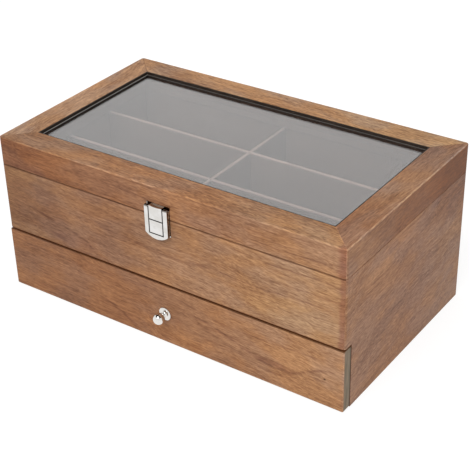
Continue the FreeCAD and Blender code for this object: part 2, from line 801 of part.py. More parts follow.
def latch_lid_plate():
    """The lid's plate; its boss carries the pin and hangs a little over the seam."""
    half = S["boss_width"] / 2
    bottom = S["boss_gap"] / 2 - S["boss_split"]
    plate = (S["latch_plate_split"], S["latch_plate_top"])
    body = latch_plate_and_boss("latch_lid_plate", plate, (bottom, S["boss_top"]), S["lid_nail_level"])
    hollow = half - S["metal_ease"]
    dip_radius = (hollow * hollow + S["boss_dip"] * S["boss_dip"]) / (2 * S["boss_dip"])
    dip = new_sketch(body, "XZ_Plane", S["latch_plate"])
    outline(dip, [(-hollow, S["boss_top"]), (hollow, S["boss_top"])], {0: (dip_radius, 1)})
    pocket(body, dip, S["latch_reach"] - S["latch_plate"], backwards=True)
    bore = new_sketch(body, "YZ_Plane")
    circle(bore, -latch_pin_stand, S["latch_pin_level"], S["latch_pin_radius"])
    pocket(body, bore, both_ways=True)


def latch_keeper():
    """The case's plate; a small catch under its boss holds the flap's bar."""
    half = S["boss_width"] / 2
    top = -(S["boss_split"] + S["boss_gap"] / 2)
    plate = (-S["keeper_drop"], -S["latch_plate_split"])
    body = latch_plate_and_boss("latch_keeper", plate, (-S["boss_drop"], top), -S["keeper_nail_level"])
    reach = S["latch_reach"] - S["metal_ease"]
    sketch = new_sketch(body, "XZ_Plane", reach - S["catch_depth"])
    inner = half - S["metal_ease"]
    rectangle(sketch, (-inner, inner), (-(S["boss_drop"] + S["catch_height"]), -S["boss_drop"]))
    pad(body, sketch, S["catch_depth"])


def latch_flap():
    """The U-shaped flap, pressed from sheet: hollow behind, with an eye at the top of each arm."""
    body = latch_body("latch_flap")
    back = S["latch_reach"] - flap_depth
    top = S["latch_pin_level"]
    sketch = new_sketch(body, "XZ_Plane", back)
    flap_outline(sketch, top, Size.of(0))
    pad(body, sketch, flap_depth)
    for low in (-flap_half, flap_arm):
        eye = new_sketch(body, "YZ_Plane", low)
        circle(eye, -latch_pin_stand, top, eye_radius)
        pad(body, eye, flap_half - flap_arm)
    hollow = new_sketch(body, "XZ_Plane", back)
    flap_outline(hollow, top - eye_radius - S["flap_wall"], S["flap_wall"])
    pocket(body, hollow, flap_depth - S["flap_wall"], backwards=True)
    bore = new_sketch(body, "YZ_Plane")
    circle(bore, -latch_pin_stand, top, S["latch_pin_radius"] + S["pin_play"])
    pocket(body, bore, both_ways=True)
    front = -S["latch_reach"].number
    fillet(body, S["metal_ease"], lambda edge: lies_on(edge, "Y", front))


def flap_outline(sketch, top, wall):
    """A U whose lower edge is one wide arc with round corners, drawn a wall's thickness inside."""
    outer, inner = flap_half - wall, flap_arm + wall
    bar = -(flap_bar_drop + wall)
    sweep, corner = S["flap_sweep"] - wall, S["flap_round"] - wall
    middle = S["flap_sweep"] - S["flap_drop"]
    corner_x = outer - corner
    reach = sweep - corner
    fall = root(reach * reach - corner_x * corner_x)
    meet_x = corner_x * sweep / reach
    meet = middle - fall * sweep / reach
    turn = middle - fall
    corners = [
        (-outer, top), (-outer, turn), (-meet_x, meet), (meet_x, meet), (outer, turn), (outer, top),
        (inner, top), (inner, bar), (-inner, bar), (-inner, top),
    ]
    outline(sketch, corners, {1: (corner, 1), 2: (sweep, 1), 3: (corner, 1)})


def latch_pin():
    """The pin through the upper boss and the flap's eyes."""
    length = S["flap_width"] - S["metal_ease"]
    y = -(half_depth + latch_pin_stand)
    cross_pin("latch_pin", S["latch_pin_radius"], length, Size.of(0), y, seam + S["latch_pin_level"])


def latch_nails(name, level):
    """Two flat-headed nails through a latch plate, into the wood behind it."""
    plate = S["latch_plate"]
    corners = [
        (0, S["nail_length"]), (S["nail_radius"], S["nail_length"]), (S["nail_radius"], -plate),
        (S["nail_head_radius"], -plate), (S["nail_head_radius"], -(plate + S["nail_head"])),
        (0, -(plate + S["nail_head"])),
    ]
    straight = FreeCAD.Rotation()
    nails = []
    for hand in (-1, 1):
        x = hand * nail_x
        nails.append(turned_piece(f"{name}_{len(nails)}", corners, x, -half_depth, level, straight))
    group(name, nails)


# Drawer

drawer_half_x = inside_x - S["drawer_side_gap"]
drawer_low = S["base_board"] + S["drawer_run_gap"]
drawer_floor = drawer_low + S["drawer_bottom_board"]
drawer_top = panel_bottom - S["drawer_head_room"]
drawer_front_y = S["front_board"] - half_depth
knob_head_sink = S["knob_head"] + S["knob_head_play"]
drawer_back_y = inside_y - S["drawer_back_gap"]


def knob_hole(body, level):
    sketch = new_sketch(body, "XZ_Plane")
    circle(sketch, 0, level, S["knob_screw_radius"] + S["knob_screw_play"])
    pocket(body, sketch, both_ways=True)


def drawer_front():
    """The full-width front, its corners rounded and its front edges softened."""
    low = S["front_lift"]
    body = slab("drawer_front", (-half_width, half_width), (-half_depth, drawer_front_y),
                (low, low + S["front_height"]))
    knob_hole(body, S["knob_level"] - low)
    sides = (half_width.number, -half_width.number)
    ends = (0, S["front_height"].number)
    fillet(body, S["front_corner"], lambda edge: any(lies_on(edge, "X", side) for side in sides)
           and any(lies_on(edge, "Z", end) for end in ends))
    face = -half_depth.number
    straight = "Part::GeomLine"
    fillet(body, S["front_ease"], lambda edge: lies_on(edge, "Y", face) and edge.Curve.TypeId == straight)


def drawer_box():
    """Inner front, two sides and back, standing on the bottom board."""
    board = S["drawer_board"]
    inner = drawer_half_x - board
    z = (drawer_floor, drawer_top)
    sides_y = (drawer_front_y + board, drawer_back_y - board)
    slab("drawer_bottom", (-drawer_half_x, drawer_half_x), (drawer_front_y, drawer_back_y),
         (drawer_low, drawer_floor))
    body = slab("drawer_inner_front", (-drawer_half_x, drawer_half_x), (drawer_front_y, sides_y[0]), z)
    knob_hole(body, S["knob_level"] - drawer_floor)
    counterbore = new_sketch(body, "XZ_Plane", -sides_y[0])
    circle(counterbore, 0, S["knob_level"] - drawer_floor, S["knob_head_radius"] + S["knob_head_play"])
    pocket(body, counterbore, knob_head_sink, backwards=True)
    slab("drawer_back", (-drawer_half_x, drawer_half_x), (sides_y[1], drawer_back_y), z)
    slab("drawer_left_side", (-drawer_half_x, -inner), sides_y, z)
    slab("drawer_right_side", (inner, drawer_half_x), sides_y, z)
    lining_top = drawer_top - S["drawer_lining_drop"]
    lined_space("drawer", (-inner, inner), sides_y, drawer_floor, S["drawer_pad"], S["drawer_lining"],
                lining_top, lining_top)


def drawer_knob():
    """A ball on a neck that flares into a flange, bored for the screw from behind."""
    bore = S["knob_screw_radius"] + S["knob_screw_play"]
    neck = S["knob_neck_radius"]
    ball = S["knob_ball_radius"]
    neck_end = S["knob_ball_stand"] - root(ball * ball - neck * neck)
    depth = S["knob_screw_grip"] + S["knob_screw_play"]
    corners = [
        (bore, 0), (S["knob_flange_radius"], 0), (S["knob_flange_radius"], -S["knob_flange_rim"]),
        (S["knob_shoulder_radius"], -S["knob_shoulder"]), (neck, -S["knob_neck"]), (neck, -neck_end),
        (0, -(S["knob_ball_stand"] + ball)), (0, -depth), (bore, -depth),
    ]
    arcs = {
        2: (S["knob_flange_radius"], -1),
        3: (neck, 1),
        5: (ball, -1),
    }
    straight = FreeCAD.Rotation()
    body = turned_piece("drawer_knob", corners, Size.of(0), -half_depth, S["knob_level"], straight, arcs)
    body.Label = "drawer_knob"
    subparts.append(body)


def knob_screw():
    """The machine screw that holds the knob, its head inside the drawer."""
    shank = S["knob_screw_radius"]
    wood = S["front_board"] + S["drawer_board"] - knob_head_sink
    head_end = wood + S["knob_head"]
    corners = [
        (0, -S["knob_screw_grip"]), (shank, -S["knob_screw_grip"]), (shank, wood),
        (S["knob_head_radius"], wood), (S["knob_head_radius"], head_end), (0, head_end),
    ]
    straight = FreeCAD.Rotation()
    body = turned_piece("knob_screw", corners, Size.of(0), -half_depth, S["knob_level"], straight)
    body.Label = "knob_screw"
    subparts.append(body)


# Assembly

side_panel("left_side_panel", "left")
side_panel("right_side_panel", "right")
back_panel()
upper_front_panel()
base_board()
tray_floor_board()
lined_space("tray", (-inside_x, inside_x), (-inside_y, inside_y), tray_floor, S["tray_pad"],
            S["tray_lining"], seam - S["lining_drop"], seam)
for rail_side in SIDES:
    lid_rail(rail_side)
glass_pane()
lid_liners()
window_gasket()
for hinge_hand in (-1, 1):
    hinge_leaf(hinge_hand, upper=False)
    hinge_leaf(hinge_hand, upper=True)
    hinge_pin(hinge_hand)
hinge_screws("hinge_body_screws", upper=False)
hinge_screws("hinge_lid_screws", upper=True)
latch_lid_plate()
latch_keeper()
latch_flap()
latch_pin()
latch_nails("latch_lid_nails", seam + S["lid_nail_level"])
latch_nails("latch_keeper_nails", seam - S["keeper_nail_level"])
drawer_front()
drawer_box()
drawer_knob()
knob_screw()
doc.recompute()

for item in doc.Objects:
    if "Invalid" in item.State or "Error" in item.State:
        raise ValueError(f"{item.Label} failed")
os.makedirs("parts", exist_ok=True)
for subpart in subparts:
    shape = subpart.Shape
    if shape.isNull() or not shape.isValid() or not shape.Solids:
        raise ValueError(f"{subpart.Label} has no valid solid")
    shape.exportStep(f"parts/{subpart.Label}.step")
    print(f"{subpart.Label}: {len(shape.Solids)} solid(s), {shape.Volume:.1f} mm3")
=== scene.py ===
import math

import bmesh
import bpy
from mathutils import Matrix, Vector


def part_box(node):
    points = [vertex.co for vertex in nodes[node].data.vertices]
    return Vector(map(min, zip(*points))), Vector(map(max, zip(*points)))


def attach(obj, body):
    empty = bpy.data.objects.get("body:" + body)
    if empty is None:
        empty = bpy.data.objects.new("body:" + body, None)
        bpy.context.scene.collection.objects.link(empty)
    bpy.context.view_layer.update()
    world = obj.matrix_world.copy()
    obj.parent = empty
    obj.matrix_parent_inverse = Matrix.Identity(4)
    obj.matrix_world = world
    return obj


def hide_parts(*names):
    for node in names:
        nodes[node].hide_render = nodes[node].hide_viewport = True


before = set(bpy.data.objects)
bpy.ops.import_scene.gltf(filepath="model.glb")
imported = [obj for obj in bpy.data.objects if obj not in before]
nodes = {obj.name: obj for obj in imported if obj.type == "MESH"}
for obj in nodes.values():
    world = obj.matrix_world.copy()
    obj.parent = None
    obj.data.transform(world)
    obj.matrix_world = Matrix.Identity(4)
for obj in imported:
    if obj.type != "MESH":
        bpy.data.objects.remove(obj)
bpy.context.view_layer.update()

MM = 0.001
AXES = "XYZ"


def rgb(red, green, blue):
    return (red, green, blue, 1.0)


WHITE = rgb(1.0, 1.0, 1.0)

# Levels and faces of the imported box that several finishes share
HALF_WIDTH = 172.5 * MM
HALF_DEPTH = 100 * MM
TOP = 150 * MM
PANEL_BOTTOM = 60.3 * MM            # lower edge of the upper front panel
GASKET_HALF_WIDTH = 146.5 * MM      # to the inside of the gasket's foot
GASKET_HALF_DEPTH = 74.0 * MM
GASKET_FOOT_TOP = 147.4 * MM
BOSS_HALF_WIDTH = 6.95 * MM         # latch: to the gap between the bosses and the flap's arms
BOSS_BOTTOM = 109.85 * MM
BOSS_SPLIT = 122.4 * MM
HINGE_PLACE = 115 * MM              # middle of each hinge, from the middle of the box
SCREW_PLACE = 12 * MM               # each screw, from the middle of its hinge
TRAY_DIVIDERS = (-29 * MM, 29 * MM)
DRAWER_DIVIDERS = (-29.5 * MM, 22.5 * MM)
TRAY_DIVIDER_PALE = 122.6 * MM      # where the dividers' pale upper edges start, worn and painted lighter as catching the light
DRAWER_DIVIDER_PALE = 51.4 * MM

# The camera, fitted to the straight edges in the photograph
CAMERA_PLACE = (0.5418, -0.7563, 0.6176)
CAMERA_ANGLES = (36.269, 31.545, -1.9835)       # azimuth, elevation and roll, in degrees
CAMERA_SENSOR, CAMERA_LENS = 36, 94.266         # in millimetres
CAMERA_SHIFT = (0.03, 0.02)


# Shader maths

class Value:
    """A number that varies over a surface. Plain sums on it add Math nodes."""

    def __init__(self, graph, socket):
        self.graph = graph
        self.socket = socket

    def work(self, operation, first, second=0.0):
        return self.graph.node("ShaderNodeMath", {"operation": operation}, {0: first, 1: second})

    def __add__(self, other):
        return self.work("ADD", self, other)

    def __radd__(self, other):
        return self.work("ADD", other, self)

    def __sub__(self, other):
        return self.work("SUBTRACT", self, other)

    def __rsub__(self, other):
        return self.work("SUBTRACT", other, self)

    def __mul__(self, other):
        return self.work("MULTIPLY", self, other)

    def __abs__(self):
        return self.work("ABSOLUTE", self)


def larger(first, second):
    return first.work("MAXIMUM", first, second)


def smaller(first, second):
    return first.work("MINIMUM", first, second)


class Graph:
    """An emptied node tree, and short ways to add to it."""

    def __init__(self, tree):
        self.tree = tree
        self.tree.nodes.clear()

    def node(self, kind, settings=None, values=None, output=0):
        """A new node, its settings made first, then its sockets. Gives back one of its outputs."""
        made = self.tree.nodes.new(kind)
        for name, setting in (settings or {}).items():
            if name == "stops":
                self.set_stops(made.color_ramp, setting)
            else:
                setattr(made, name, setting)
        for name, value in (values or {}).items():
            socket = self.socket(made.inputs, name)
            if isinstance(value, Value):
                self.tree.links.new(value.socket, socket)
            else:
                socket.default_value = value
        return Value(self, self.socket(made.outputs, output))

    @staticmethod
    def socket(sockets, name):
        if isinstance(name, int):
            return sockets[name]
        return next(s for s in sockets if name in (s.identifier, s.name))

    @staticmethod
    def set_stops(ramp, stops):
        ramp.interpolation = "CARDINAL"
        while len(ramp.elements) < len(stops):
            ramp.elements.new(1.0)
        for element, (position, level) in zip(ramp.elements, stops):
            element.position = position
            element.color = (level, level, level, 1.0)

    def seen_directly(self):
        """1 where the camera looks, also in a mirror or through glass, and 0 for other light."""
        camera, mirrored, through = (
            self.node("ShaderNodeLightPath", output=name)
            for name in ("Is Camera Ray", "Is Glossy Ray", "Is Transmission Ray"))
        return larger(larger(camera, mirrored), through)

    def split(self, vector):
        return [self.node("ShaderNodeSeparateXYZ", values={0: vector}, output=n) for n in range(3)]

    def join(self, x, y, z):
        return self.node("ShaderNodeCombineXYZ", values={0: x, 1: y, 2: z})

    def shift(self, vector, offset):
        return self.node("ShaderNodeVectorMath", {"operation": "ADD"}, {0: vector, 1: offset})

    def stretch(self, vector, scale):
        values = {"Vector": vector, "Scale": scale}
        return self.node("ShaderNodeMapping", {"vector_type": "POINT"}, values)

    def noise(self, vector, scale=1.0, detail=2.0, roughness=0.5):
        values = {"Vector": vector, "Scale": scale, "Detail": detail, "Roughness": roughness}
        return self.node("ShaderNodeTexNoise", {"noise_dimensions": "3D"}, values)

    def step(self, value, low, high, first=0.0, last=1.0):
        """Goes smoothly from first to last as the value goes from low to high."""
        return self.node(
            "ShaderNodeMapRange", {"interpolation_type": "SMOOTHSTEP"},
            {0: value, 1: low, 2: high, 3: first, 4: last})

    def mix(self, amount, first, second, how="MIX"):
        return self.node(
            "ShaderNodeMix", {"data_type": "RGBA", "blend_type": how, "clamp_result": False},
            {"Factor_Float": amount, "A_Color": first, "B_Color": second}, output="Result_Color")

    def shade(self, colour, amount, tint):
        """Multiplies a colour by a tint, as far as amount says."""
        return self.mix(amount, colour, tint, "MULTIPLY")


class Finish(Graph):
    """One material, with the nodes that draw it."""

    def __init__(self, name, constants):
        self.material = bpy.data.materials.new(name)
        self.material.use_nodes = True
        super().__init__(self.material.node_tree)
        self.output = self.tree.nodes.new("ShaderNodeOutputMaterial")
        self.surface = self.tree.nodes.new("ShaderNodeBsdfPrincipled")
        self.tree.links.new(self.surface.outputs[0], self.output.inputs["Surface"])
        for socket, value in constants.items():
            self.surface.inputs[socket].default_value = value
        self.place = self.node("ShaderNodeTexCoord", output="Object")

    def drive(self, name, value):
        """Links a value to one of the surface's own sockets."""
        self.tree.links.new(value.socket, self.surface.inputs[name])

    def bump(self, height, distance, strength):
        values = {"Strength": strength, "Distance": distance, "Height": height}
        self.drive("Normal", self.node("ShaderNodeBump", values=values, output="Normal"))

    def show_instead(self, amount, other):
        """Mixes another shader over the surface, as far as amount says."""
        surface = Value(self, self.surface.outputs[0])
        mixed = self.node("ShaderNodeMixShader", values={0: amount, 1: surface, 2: other})
        self.tree.links.new(mixed.socket, self.output.inputs["Surface"])


# Walnut veneer

BARE = rgb(0.215, 0.150, 0.100)         # the board under the veneer
STAIN_AND_SHADE = rgb(0.150, 0.050, 0.014)        # dark stain on its cut edges, also used as painted shade in the gaps round the drawer front


def along_grain(axis, run, cross):
    return tuple(run if name == axis else cross for name in AXES)


# Layers of the figure: scale along the grain, scale across it, detail and share.
FIGURE = (
    (14, 34, 2.0, 0.60), (8, 85, 2.0, 0.50), (40, 150, 2.0, 0.24),
    (26, 330, 2.0, 0.50),       # streaks
    (55, 800, 2.0, 0.95),       # fibres
    (190, 1500, 1.0, 1.50))     # flecks
DEEP_FIGURE, HIGH_FIGURE = rgb(0.62, 0.55, 0.52), rgb(1.38, 1.45, 1.48)
SIDE_COOL, SIDE_WARM = rgb(0.955, 1.0, 1.10), rgb(1.04, 1.0, 0.90)
TOP_COOL, TOP_WARM = rgb(0.95, 1.015, 1.14), rgb(1.045, 0.98, 0.85)
DARK_STREAK, PALE_STREAK = rgb(0.78, 0.71, 0.69), rgb(1.12, 1.14, 1.14)


def tone_along(wood, run, tones):
    """A colour that goes from tone to tone at places along a run."""
    colour = tones[0][1]
    for (low, _), (high, tone) in zip(tones, tones[1:]):
        colour = wood.mix(wood.step(run, low * MM, high * MM), colour, tone)
    return colour


def walnut(name, axis, tones, seed, top=None, sway=14, slope=0.06, figure=1.0, on_top_figure=1.55,
           details=()):
    """Veneer with its grain along an axis.

    tones gives its ground at places along that axis, and top the ground of its upper face. seed
    picks the piece of veneer, sway bends its grain and slope tilts it. figure is the strength of
    the grain, and details are drawn over it in turn.
    """
    wood = Finish(name, {
        "Coat Weight": 0.04, "Coat Roughness": 0.4, "IOR": 1.40, "Specular IOR Level": 0.25})
    position = wood.split(wood.place)
    run = position[AXES.index(axis)]
    place = wood.shift(wood.place, (seed, seed * 0.7, seed * 0.37))
    wander = wood.noise(wood.stretch(place, along_grain(axis, 8, 14)), detail=1.0)
    ripple = wood.noise(wood.stretch(place, along_grain(axis, 60, 70)), detail=2.0)
    drift = (wander - 0.5) * (sway * MM) + (ripple - 0.5) * (2.4 * MM) + run * slope
    bent = {letter: (0.0 if letter == axis else drift) for letter in AXES}
    bent = wood.shift(place, wood.join(bent["X"], bent["Y"], bent["Z"]))

    level = 0.5
    layers = []
    for along, across, detail, share in FIGURE:
        layer = wood.noise(wood.stretch(bent, along_grain(axis, along, across)), detail=detail)
        layers.append(layer)
        level = level + (layer - 0.5) * (share * figure)
    streaks, fibres, flecks = layers[3:]
    hue = wood.noise(wood.stretch(bent, along_grain(axis, 22, 45)), detail=3.0)

    ground = tone_along(wood, run, tones)
    cool, warm = SIDE_COOL, SIDE_WARM
    if top:
        on_top = wood.step(position[2], TOP - 0.8 * MM, TOP - 0.3 * MM)
        ground = wood.mix(on_top, ground, tone_along(wood, run, top))
        cool = wood.mix(on_top, SIDE_COOL, TOP_COOL)
        warm = wood.mix(on_top, SIDE_WARM, TOP_WARM)
        level = level + (level - 0.5) * on_top * (on_top_figure - 1.0)
    ground = wood.shade(ground, 1.0, wood.mix(level, DEEP_FIGURE, HIGH_FIGURE))
    ground = wood.shade(ground, 1.0, wood.mix(wood.step(hue, 0.38, 0.62), cool, warm))
    veins = wood.noise(wood.stretch(bent, along_grain(axis, 7, 520)), detail=2.0)
    ground = wood.shade(ground, wood.step(veins, 0.54, 0.66, 0.0, 0.7 * figure), DARK_STREAK)
    ground = wood.shade(ground, wood.step(veins, 0.46, 0.34, 0.0, 0.7 * figure), PALE_STREAK)
    for detail in details:
        ground = detail(wood, position, ground)
    wood.drive("Base Color", ground)
    wood.drive("Roughness", 0.44 + fibres * 0.10 + flecks * 0.08)
    wood.bump(fibres * 0.4 + streaks * 0.3 + flecks * 0.4, 0.06 * MM, 0.6)
    return wood.material


# Details of the veneer. Each gives back a function that draws on a board's ground.

def mitre_line(hand, end, tint):
    """The joint at a corner of the lid, seen as a thin line on top."""
    def draw(wood, position, ground):
        away = abs(position[0] * hand - position[1] * end - (HALF_WIDTH - HALF_DEPTH))
        return wood.shade(ground, wood.step(away, 0.9 * MM, 0.2 * MM), tint)
    return draw


def bare_inside(axis, side, half, lid=False):
    """Bare stained board wherever the surface lies deeper than the veneer."""
    def draw(wood, position, ground):
        depth = half - position[AXES.index(axis)] * side
        bare = wood.step(depth, 0.9 * MM, 1.1 * MM)
        if lid:
            bare = bare * wood.step(position[2], TOP - 0.9 * MM, TOP - 1.1 * MM)
        grain = wood.noise(wood.place, 450, 3.0, 0.6)
        board = wood.shade(BARE, wood.step(grain, 0.35, 0.7), rgb(0.78, 0.74, 0.70))
        return wood.mix(bare, ground, board)
    return draw


def tinted_line(level, half, tint, amount=1.0, axis="Z"):
    """A darker or lighter line at a level, both in millimetres, with soft edges. It draws stained
    joints as well as painted shade and painted highlights.
    """
    def draw(wood, position, ground):
        away = abs(position[AXES.index(axis)] - level * MM)
        line = wood.step(away, half * 1.5 * MM, half * 0.5 * MM, 0.0, amount)
        return wood.shade(ground, line, tint)
    return draw


def painted_edge_highlight(axis, side, half, tint):
    """A lighter edge between a side and the top: a painted highlight where the rounded edge catches
    the light.
    """
    def draw(wood, position, ground):
        out = wood.step(half - position[AXES.index(axis)] * side, 1.5 * MM, 0.5 * MM)
        up = wood.step(position[2], TOP - 1.5 * MM, TOP - 0.5 * MM)
        return wood.shade(ground, out * up, tint)
    return draw


def end_band(inner, outer, tint):
    """The cross-cut strip at the right end of a board, its inner edge uneven, with a painted
    highlight along the rounded corner.
    """
    def draw(wood, position, ground):
        uneven = wood.noise(wood.stretch(wood.place, (40, 40, 90)), detail=2.0)
        reach = position[0] + (uneven - 0.5) * (6 * MM)
        ground = wood.shade(ground, wood.step(reach, inner * MM, outer * MM), tint)
        # Painted highlight where the rounded corner catches the light
        rim = wood.step(position[0], HALF_WIDTH - 1.3 * MM, HALF_WIDTH - 0.5 * MM)
        return wood.shade(ground, rim, rgb(1.14, 1.22, 1.30))
    return draw


def grain_line(path, width, tint, amount, fade=20):
    """A drawn line of the figure. path gives its heights along the front, in millimetres."""
    def draw(wood, position, ground):
        first, last = path[0][0], path[-1][0]
        share = (position[0] - first * MM) * (1 / ((last - first) * MM))
        stops = [((x - first) / (last - first), height * MM / TOP) for x, height in path]
        line = wood.node("ShaderNodeValToRGB", {"stops": stops}, {0: share})
        wobble = wood.noise(wood.stretch(wood.place, (45, 45, 45)), detail=2.0)
        away = position[2] - line * TOP + (wobble - 0.5) * (3.0 * MM)
        strength = wood.step(abs(away), width * 1.4 * MM, 0.0, 0.0, amount)
        ends = (wood.step(position[0], first * MM, (first + fade) * MM)
                * wood.step(position[0], last * MM, (last - fade) * MM))
        patchy = wood.noise(wood.stretch(wood.place, (60, 60, 240)), detail=2.0)
        return wood.shade(ground, strength * ends * wood.step(patchy, 0.34, 0.58, 0.25, 1.0), tint)
    return draw


def patch(centre, reach, tint, amount, axes=(0, 2)):
    """A soft cloud of another tone, round a place on the board."""
    def draw(wood, position, ground):
        first = (position[axes[0]] - centre[0] * MM) * (1 / (reach[0] * MM))
        second = (position[axes[1]] - centre[1] * MM) * (1 / (reach[1] * MM))
        ragged = wood.noise(wood.stretch(wood.place, (30, 30, 90)), detail=3.0)
        distance = first * first + second * second + (ragged - 0.5) * 1.2
        return wood.shade(ground, wood.step(distance, 1.0, 0.1, 0.0, amount), tint)
    return draw


# Other finishes

def pressed_board():
    """Pressed board, cut and lightly sealed."""
    board = Finish("pressed_board", {"IOR": 1.45, "Specular IOR Level": 0.3})
    flakes = board.noise(board.place, 620, 3.0, 0.6)
    patches = board.noise(board.place, 30, 2.0)
    colour = board.shade(BARE, board.step(flakes, 0.35, 0.7), rgb(0.80, 0.77, 0.74))
    colour = board.shade(colour, board.step(patches, 0.3, 0.7), rgb(1.10, 1.08, 1.05))
    board.drive("Base Color", colour)
    board.drive("Roughness", 0.62 + flakes * 0.2)
    board.bump(flakes, 0.05 * MM, 0.6)
    return board.material


# Velvet on the dividers' upper edges: worn pale, and painted lighter as catching the light
PALE_VELVET = rgb(0.29, 0.21, 0.18)


def velvet(name, tone, pale_from=None):
    """Short-piled velvet, brushed lighter and darker in patches.

    It is worn pale on an upper edge, and painted lighter there as the pile catching the light;
    pale_from gives the level at which that starts.
    """
    cloth = Finish(name, {
        "Sheen Weight": 0.08, "Sheen Roughness": 0.45, "Sheen Tint": rgb(0.95, 0.90, 0.87),
        "IOR": 1.4, "Specular IOR Level": 0.12})
    pile = cloth.noise(cloth.place, 2600, 2.0, 0.6)
    brushed = cloth.noise(cloth.place, 38, 3.0, 0.55)
    lint = cloth.noise(cloth.place, 520, 1.0)
    if pale_from is not None:
        level = cloth.split(cloth.place)[2]
        tone = cloth.mix(cloth.step(level, pale_from, pale_from + 0.8 * MM), tone, PALE_VELVET)
    colour = cloth.shade(tone, cloth.step(brushed, 0.34, 0.66), rgb(1.12, 1.11, 1.10))
    colour = cloth.shade(colour, cloth.step(pile, 0.35, 0.72), rgb(0.80, 0.79, 0.78))
    colour = cloth.shade(colour, cloth.step(lint, 0.62, 0.74) * 0.2, rgb(1.5, 1.5, 1.5))
    cloth.drive("Base Color", colour)
    cloth.drive("Roughness", 0.88 + pile * 0.1)
    cloth.bump(pile + brushed * 0.5, 0.12 * MM, 0.8)
    return cloth.material


GAP_SHADE = rgb(0.07, 0.06, 0.055)


def latch_shade_and_reflection(metal, colour):
    """Painted shade in the gaps of the latch, round its bosses, at its eyes and behind its flap,
    and a painted brown reflection of the wood on the plates inside the flap's width.
    """
    across, depth, level = metal.split(metal.place)
    across = abs(across)
    beside_boss = across - BOSS_HALF_WIDTH
    gap = larger(beside_boss, BOSS_BOTTOM - level)              # beside and below the bosses
    split = larger(beside_boss, abs(level - BOSS_SPLIT))        # between the two of them
    line = smaller(abs(gap), abs(split))
    colour = metal.shade(colour, metal.step(line, 0.70 * MM, 0.30 * MM), GAP_SHADE)
    eyes = metal.step(level, 132.7 * MM, 133.7 * MM) * metal.step(across, 7.0 * MM, 7.6 * MM)
    colour = metal.shade(colour, eyes, rgb(0.32, 0.29, 0.27))
    outside = metal.step(across, 10.8 * MM, 11.2 * MM) * metal.step(depth, -102.7 * MM, -102.3 * MM)
    behind = metal.step(depth, -104.3 * MM, -103.3 * MM) * (1.0 - outside)
    behind = behind * metal.step(level, 133.8 * MM, 132.8 * MM, 0.35, 1.0)
    plate = metal.step(depth, -101.4 * MM, -101.1 * MM)
    colour = metal.shade(colour, behind * (1.0 - plate), GAP_SHADE)
    # Painted brown reflection of the wood on the plates, inside the flap's width
    plate = plate * metal.step(across, 10.7 * MM, 10.2 * MM)
    return metal.shade(colour, plate, rgb(0.62, 0.50, 0.43))


def polished(name, tone, roughness, smear, detail=None):
    """Plated metal with faint smears in its polish. detail draws on its colour."""
    metal = Finish(name, {"Metallic": 1.0})
    haze = metal.noise(metal.place, 130, 3.0, 0.6)
    fine = metal.noise(metal.place, 900, 2.0)
    colour = metal.shade(tone, metal.step(haze, 0.35, 0.65), rgb(0.90, 0.89, 0.87))
    if detail:
        colour = detail(metal, colour)
    metal.drive("Base Color", colour)
    metal.drive("Roughness", roughness + metal.step(haze, 0.4, 0.7) * smear + fine * (smear * 0.4))
    metal.bump(haze + fine * 0.2, 0.01 * MM, 0.4)
    return metal.material


def gasket_rubber():
    """Black rubber, with a painted highlight along the upper edge of its foot."""
    rubber = Finish("black_rubber", {"IOR": 1.5, "Specular IOR Level": 0.24})
    bloom = rubber.noise(rubber.place, 90, 3.0)
    grain = rubber.noise(rubber.place, 1500, 2.0)
    black, bloomed = rgb(0.018, 0.011, 0.007), rgb(0.028, 0.018, 0.012)
    colour = rubber.mix(rubber.step(bloom, 0.4, 0.7), black, bloomed)
    across, depth, level = rubber.split(rubber.place)
    # Painted highlight along the upper edge of the foot, stronger at the sides than at the front
    # and back
    foot_highlight = 0.0
    for reach, inside, share in ((across, GASKET_HALF_WIDTH, 1.0), (depth, GASKET_HALF_DEPTH, 0.3)):
        out = abs(reach) - inside
        edge = rubber.step(out, 0.04 * MM, 0.10 * MM, 0.0, share)
        edge = edge * rubber.step(out, 0.50 * MM, 0.42 * MM)
        foot_highlight = edge + foot_highlight
    foot_highlight = foot_highlight * rubber.step(level, GASKET_FOOT_TOP - 0.4 * MM, GASKET_FOOT_TOP - 0.3 * MM)
    foot_highlight = foot_highlight * rubber.step(level, GASKET_FOOT_TOP + 0.2 * MM, GASKET_FOOT_TOP + 0.1 * MM)
    colour = rubber.mix(foot_highlight, colour, rgb(0.30, 0.285, 0.27))
    rubber.drive("Base Color", colour)
    rubber.drive("Roughness", 0.40 + bloom * 0.16 + grain * 0.05)
    rubber.bump(grain, 0.02 * MM, 0.5)
    return rubber.material


def window_glass():
    """Clear glass that lets the lamp's light through. Its high index makes it mirror the room."""
    glass = Finish("clear_glass", {
        "Base Color": rgb(1.0, 0.975, 0.965), "Transmission Weight": 1.0, "IOR": 1.92})
    smears = glass.noise(glass.place, 26, 3.0)
    glass.drive("Roughness", glass.step(smears, 0.50, 0.75) * 0.02)
    lamps = glass.node("ShaderNodeLightPath", output="Is Shadow Ray")
    clear = glass.node("ShaderNodeBsdfTransparent", values={0: rgb(0.88, 0.89, 0.89)})
    glass.show_instead(lamps, clear)
    return glass.material


def paint(node, material):
    """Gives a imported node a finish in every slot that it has."""
    for slot in nodes[node].material_slots:
        slot.material = material


# Modelling

def take(piece):
    """Selects one piece, and nothing else."""
    bpy.ops.object.select_all(action="DESELECT")
    piece.select_set(True)
    bpy.context.view_layer.objects.active = piece


def block(name, low, high):
    """A box between two corners."""
    bpy.ops.object.select_all(action="DESELECT")
    bpy.ops.mesh.primitive_cube_add(size=1.0, location=(low + high) / 2, scale=high - low)
    piece = bpy.context.object
    piece.name = name
    piece.data.name = name
    bpy.ops.object.transform_apply(location=True, rotation=True, scale=True)
    return piece


